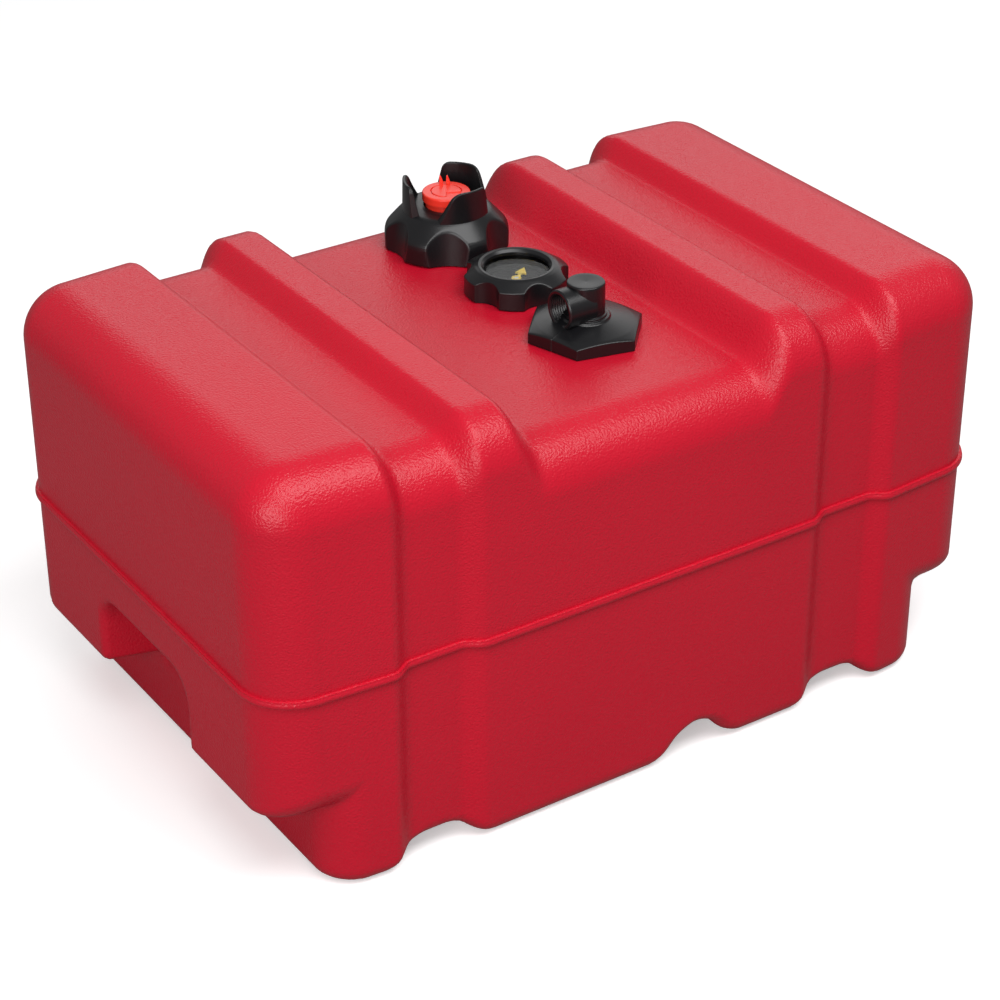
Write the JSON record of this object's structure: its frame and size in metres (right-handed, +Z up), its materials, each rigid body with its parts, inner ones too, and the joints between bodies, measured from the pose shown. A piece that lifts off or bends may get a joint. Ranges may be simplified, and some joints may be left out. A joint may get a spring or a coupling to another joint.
{
  "type": "outboard fuel tank",
  "caption": "Portable outboard fuel tank with vented ratcheting filler cap, float gauge, threaded fuel port, hand grips and hold-down strap valleys.",
  "frame": {"origin": "middle of the tank's footprint, on the floor", "axes": "+X along the tank's length, -Y towards its front long side, +Z up; the filler cap is towards +Y and the fuel port faces -X"},
  "size_m": [0.578, 0.363, 0.3277],
  "materials": {
    "tank_plastic": "red polyethylene with a fine pebble grain",
    "black_plastic": "satin black moulding",
    "seal_rubber": "matt nitrile rubber",
    "button_plastic": "semi-gloss orange red",
    "natural_plastic": "natural acetal",
    "bright_steel": "bright drawn stainless steel",
    "clear_window": "clear gloss",
    "pointer_plastic": "yellow",
    "float_foam": "closed-cell nitrile foam",
    "tube_aluminium": "drawn tube"
  },
  "bodies": {
    "tank": {"tank_body": "tank_plastic", "gauge_ring_nut": "black_plastic", "gauge_lens": "clear_window", "gauge_dial": "black_plastic", "gauge_housing": "black_plastic", "gauge_gasket": "seal_rubber", "gauge_guide_rods": "bright_steel", "gauge_foot": "natural_plastic", "pickup_fitting": "black_plastic", "pickup_gasket": "seal_rubber", "dip_tube": "tube_aluminium", "pickup_screen": "natural_plastic"},
    "cap_core": {"cap_insert": "black_plastic", "cap_gasket": "seal_rubber"},
    "cap_shell": {"filler_cap": "black_plastic", "vent_spring": "bright_steel"},
    "vent_valve": {"vent_button": "button_plastic", "vent_stem": "natural_plastic", "vent_valve_disc": "seal_rubber", "vent_clip": "bright_steel"},
    "pointer": {"gauge_pointer": "pointer_plastic", "twisted_strip": "bright_steel"},
    "float": {"float": "float_foam", "float_follower": "natural_plastic"}
  },
  "joints": [
    {"name": "cap_lift", "type": "slide", "parent": "tank", "child": "cap_core", "axis": [0, 0, 1], "range_m": [0, 0.12]},
    {"name": "cap_turn", "type": "hinge", "parent": "cap_core", "child": "cap_shell", "pos_m": [0.025, 0.11, 0.295], "axis": [0, 0, 1], "continuous": true},
    {"name": "vent_press", "type": "slide", "parent": "cap_shell", "child": "vent_valve", "axis": [0, 0, -1], "range_m": [0, 0.0035], "stiffness_N_per_m": 700, "springref_m": -0.004, "deforming": ["vent_spring"]},
    {"name": "float_rise", "type": "slide", "parent": "tank", "child": "float", "axis": [0, 0, 1], "range_m": [0, 0.165]},
    {"name": "pointer_turn", "type": "hinge", "parent": "tank", "child": "pointer", "pos_m": [0.025, 0.0215, 0.28], "axis": [0, 0, 1], "range_deg": [-270, 0]}
  ],
  "couplings": [
    {"joint": "pointer_turn", "follows": "float_rise", "rad_per_m": -28.56}
  ]
}
